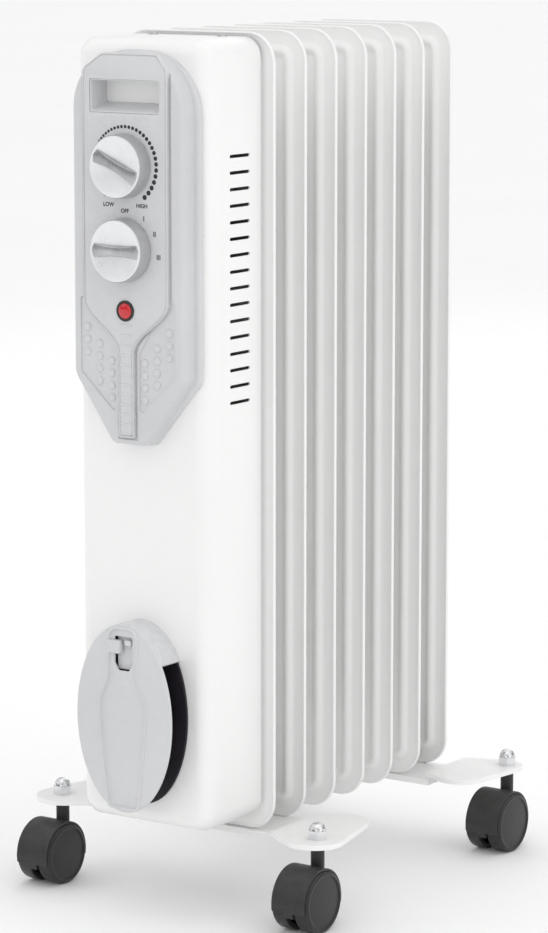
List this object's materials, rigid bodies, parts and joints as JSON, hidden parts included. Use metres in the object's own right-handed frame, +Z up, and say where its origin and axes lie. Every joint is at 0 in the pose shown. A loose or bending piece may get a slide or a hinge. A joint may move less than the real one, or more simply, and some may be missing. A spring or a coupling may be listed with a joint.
{
  "type": "oil filled radiator heater",
  "caption": "Free-standing oil filled radiator: welded steel fins, a front control box with two turning knobs and a cord winder, and foot plates on swivelling twin-wheel castors.",
  "frame": {"origin": "on the floor below the middle of the heater's outline", "axes": "+Z up, -Y towards the control panel, +X to the right of a person who faces the panel"},
  "size_m": [0.269, 0.3634, 0.6382],
  "materials": {
    "white_enamel": "smooth semi-gloss powder coat",
    "plated_steel": "zinc plated",
    "chrome": "polished plating",
    "grey_plastic": "satin moulded",
    "silver_plastic": "satin silver",
    "black_plastic": "fine textured moulding",
    "winder_black": "fine textured moulding",
    "red_lens": "clear red, polished",
    "lamp_glass": "clear tube",
    "gasket_fibre": "matt fibre board",
    "element_steel": "drawn tube, dull",
    "ceramic": "glazed",
    "control_plastic": "moulded",
    "lead_insulation": "smooth sleeve"
  },
  "bodies": {
    "heater": {"fin_1": "white_enamel", "fin_2": "white_enamel", "fin_3": "white_enamel", "fin_4": "white_enamel", "fin_5": "white_enamel", "fin_6": "white_enamel", "fin_7": "white_enamel", "header_caps": "white_enamel", "filler_plug": "plated_steel", "flange_ring": "plated_steel", "heater_gasket": "gasket_fibre", "heater_flange": "plated_steel", "flange_bolts": "plated_steel", "low_power_element": "element_steel", "high_power_element": "element_steel", "box_cover": "white_enamel", "box_backplate": "plated_steel", "backplate_spacers": "plated_steel", "box_screws": "plated_steel", "control_bezel": "grey_plastic", "bezel_screws": "plated_steel", "dial_plate": "grey_plastic", "grip_sleeve": "grey_plastic", "component_bracket": "plated_steel", "thermostat_body": "control_plastic", "switch_body": "black_plastic", "bushing_nuts": "plated_steel", "indicator_ring": "black_plastic", "indicator_lens": "red_lens", "neon_lamp": "lamp_glass", "thermal_cutout": "black_plastic", "terminal_block": "ceramic", "wiring": "lead_insulation", "cord_gland": "black_plastic", "winder_plate": "grey_plastic", "winder_drum": "winder_black", "winder_base": "winder_black", "winder_screws": "plated_steel", "front_foot": "white_enamel", "rear_foot": "white_enamel", "u_bolts": "plated_steel", "wing_nuts": "plated_steel", "cap_nuts": "chrome", "castor_stems": "plated_steel"},
    "thermostat_dial": {"thermostat_knob": "silver_plastic", "thermostat_shaft": "plated_steel"},
    "switch_dial": {"switch_knob": "silver_plastic", "switch_shaft": "plated_steel"},
    "castor_fl": {"castor_fl_fork": "black_plastic"},
    "wheel_fl_left": {"castor_fl_wheel_left": "black_plastic"},
    "wheel_fl_right": {"castor_fl_wheel_right": "black_plastic"},
    "castor_fr": {"castor_fr_fork": "black_plastic"},
    "wheel_fr_left": {"castor_fr_wheel_left": "black_plastic"},
    "wheel_fr_right": {"castor_fr_wheel_right": "black_plastic"},
    "castor_rl": {"castor_rl_fork": "black_plastic"},
    "wheel_rl_left": {"castor_rl_wheel_left": "black_plastic"},
    "wheel_rl_right": {"castor_rl_wheel_right": "black_plastic"},
    "castor_rr": {"castor_rr_fork": "black_plastic"},
    "wheel_rr_left": {"castor_rr_wheel_left": "black_plastic"},
    "wheel_rr_right": {"castor_rr_wheel_right": "black_plastic"}
  },
  "joints": [
    {"name": "thermostat_turn", "type": "hinge", "parent": "heater", "child": "thermostat_dial", "pos_m": [0, -0.1693, 0.547], "axis": [0, 1, 0], "range_deg": [-264, 36]},
    {"name": "switch_turn", "type": "hinge", "parent": "heater", "child": "switch_dial", "pos_m": [0, -0.1693, 0.488], "axis": [0, 1, 0], "range_deg": [-90, 0]},
    {"name": "castor_fl_swivel", "type": "hinge", "parent": "heater", "child": "castor_fl", "pos_m": [-0.1155, -0.0978, 0.05], "axis": [0, 0, 1], "continuous": true},
    {"name": "wheel_fl_left_spin", "type": "hinge", "parent": "castor_fl", "child": "wheel_fl_left", "pos_m": [-0.1254, -0.1122, 0.0225], "axis": [1, 0, 0], "continuous": true},
    {"name": "wheel_fl_right_spin", "type": "hinge", "parent": "castor_fl", "child": "wheel_fl_right", "pos_m": [-0.1056, -0.1122, 0.0225], "axis": [1, 0, 0], "continuous": true},
    {"name": "castor_fr_swivel", "type": "hinge", "parent": "heater", "child": "castor_fr", "pos_m": [0.1155, -0.0978, 0.05], "axis": [0, 0, 1], "continuous": true},
    {"name": "wheel_fr_left_spin", "type": "hinge", "parent": "castor_fr", "child": "wheel_fr_left", "pos_m": [0.1056, -0.1122, 0.0225], "axis": [1, 0, 0], "continuous": true},
    {"name": "wheel_fr_right_spin", "type": "hinge", "parent": "castor_fr", "child": "wheel_fr_right", "pos_m": [0.1254, -0.1122, 0.0225], "axis": [1, 0, 0], "continuous": true},
    {"name": "castor_rl_swivel", "type": "hinge", "parent": "heater", "child": "castor_rl", "pos_m": [-0.1155, 0.1685, 0.05], "axis": [0, 0, 1], "continuous": true},
    {"name": "wheel_rl_left_spin", "type": "hinge", "parent": "castor_rl", "child": "wheel_rl_left", "pos_m": [-0.1254, 0.1541, 0.0225], "axis": [1, 0, 0], "continuous": true},
    {"name": "wheel_rl_right_spin", "type": "hinge", "parent": "castor_rl", "child": "wheel_rl_right", "pos_m": [-0.1056, 0.1541, 0.0225], "axis": [1, 0, 0], "continuous": true},
    {"name": "castor_rr_swivel", "type": "hinge", "parent": "heater", "child": "castor_rr", "pos_m": [0.1155, 0.1685, 0.05], "axis": [0, 0, 1], "continuous": true},
    {"name": "wheel_rr_left_spin", "type": "hinge", "parent": "castor_rr", "child": "wheel_rr_left", "pos_m": [0.1056, 0.1541, 0.0225], "axis": [1, 0, 0], "continuous": true},
    {"name": "wheel_rr_right_spin", "type": "hinge", "parent": "castor_rr", "child": "wheel_rr_right", "pos_m": [0.1254, 0.1541, 0.0225], "axis": [1, 0, 0], "continuous": true}
  ]
}
